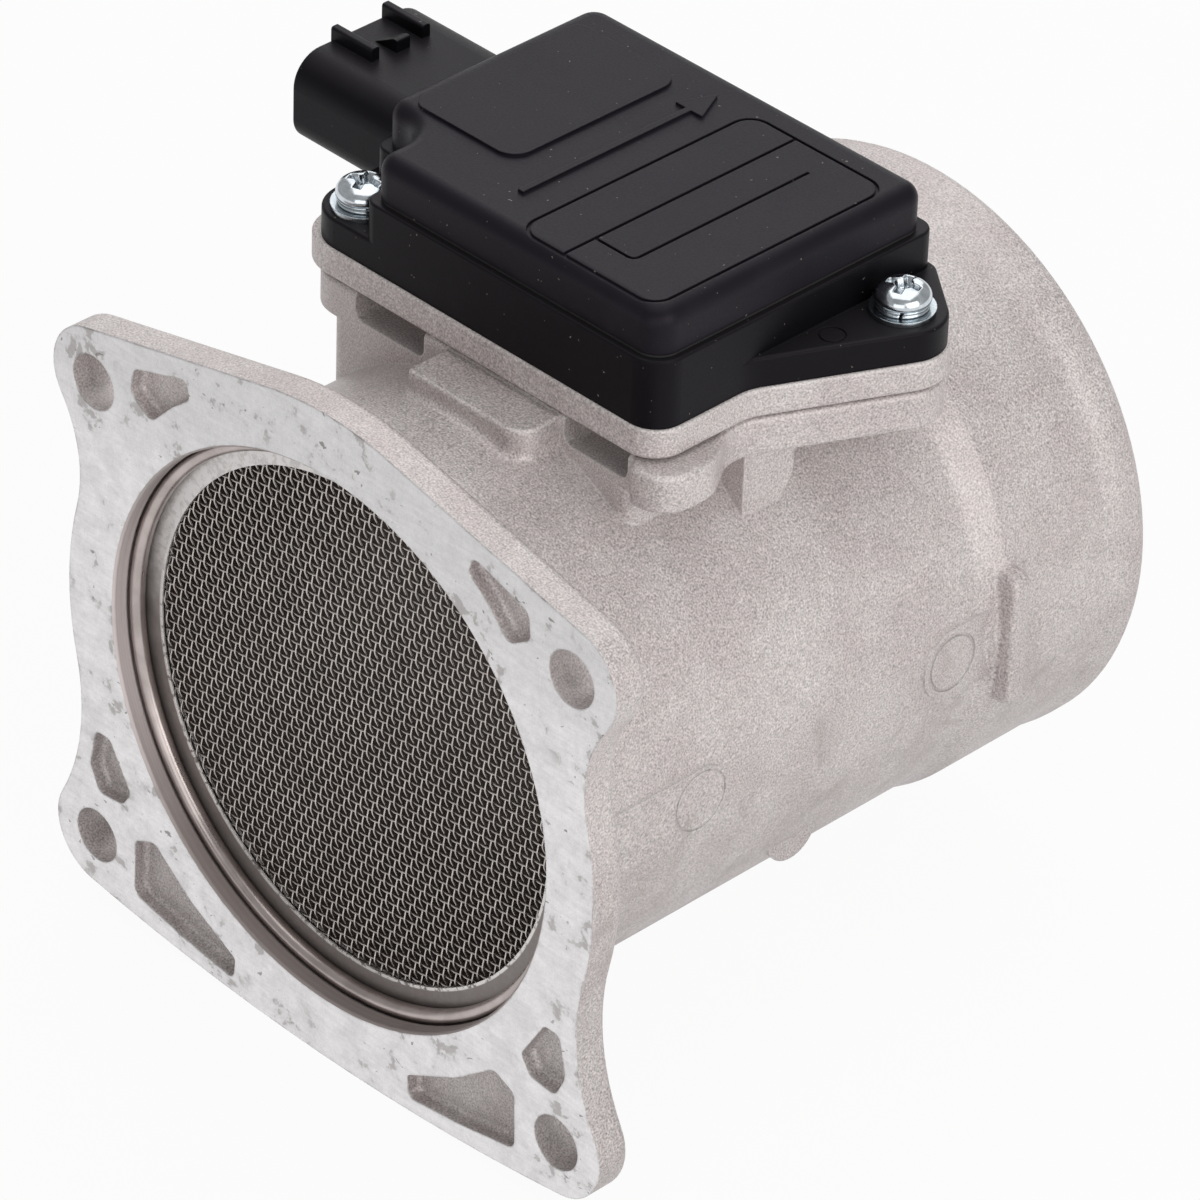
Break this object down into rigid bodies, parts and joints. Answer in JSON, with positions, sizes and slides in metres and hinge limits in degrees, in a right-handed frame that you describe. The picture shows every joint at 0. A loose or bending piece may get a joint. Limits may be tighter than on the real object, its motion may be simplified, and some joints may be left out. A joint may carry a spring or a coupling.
{
  "type": "mass airflow sensor",
  "caption": "Cast aluminium air duct with a bolted inlet flange, a wire screen in its mouth, a hose end, and a black sensor module with a plug socket on top.",
  "frame": {"origin": "centre of the rectangle of four flange holes, on the flange's front face; the duct's axis runs 2.835 mm above it", "axes": "+Y the way the air flows, from the flange to the hose end; +Z from the duct to the module's lid; +X to the right when looking along the flow, so the plug socket opens to -X"},
  "size_m": [0.1074, 0.112, 0.1189],
  "materials": {
    "cast_aluminium": "die cast, faintly grained, machined on face and bore",
    "plate_aluminium": "die cast, satin",
    "frame_steel": "pressed stainless sheet, satin",
    "screen_wire": "drawn stainless wire, bright",
    "ring_steel": "drawn spring wire, satin",
    "gasket_rubber": "matte black",
    "case_plastic": "black glass filled plastic, fine grain",
    "lid_plastic": "black glass filled plastic, fine grain",
    "sealant": "cured black sealant",
    "zinc_screw": "zinc plated, bright",
    "zinc_washer": "zinc plated, satin",
    "contact_metal": "tin plated",
    "board_ceramic": "fired alumina with printed tracks",
    "chip_plastic": "black moulding compound",
    "resistor_ceramic": "glazed",
    "holder_plastic": "dark moulded plastic",
    "seal_rubber": "matte black",
    "pin_steel": "drawn, satin",
    "element_glaze": "glass coated"
  },
  "bodies": {
    "root": {"air_temperature_element": "element_glaze", "ballast_resistor": "resistor_ceramic", "base_gasket": "gasket_rubber", "base_plate": "plate_aluminium", "case": "case_plastic", "case_screws": "zinc_screw", "circuit_board": "board_ceramic", "control_chip": "chip_plastic", "element_holder": "holder_plastic", "filter_capacitor": "resistor_ceramic", "flat_washers": "zinc_washer", "holder_seal": "seal_rubber", "hot_element": "element_glaze", "housing": "cast_aluminium", "lid": "lid_plastic", "lid_sealant": "sealant", "power_transistor": "chip_plastic", "retaining_ring": "ring_steel", "screen_frame": "frame_steel", "screen_mesh": "screen_wire", "spring_washers": "zinc_washer", "support_pin_1": "pin_steel", "support_pin_2": "pin_steel", "support_pin_3": "pin_steel", "support_pin_4": "pin_steel", "terminal_1": "contact_metal", "terminal_2": "contact_metal", "terminal_3": "contact_metal", "terminal_4": "contact_metal", "trim_resistor": "resistor_ceramic"}
  },
  "joints": []
}
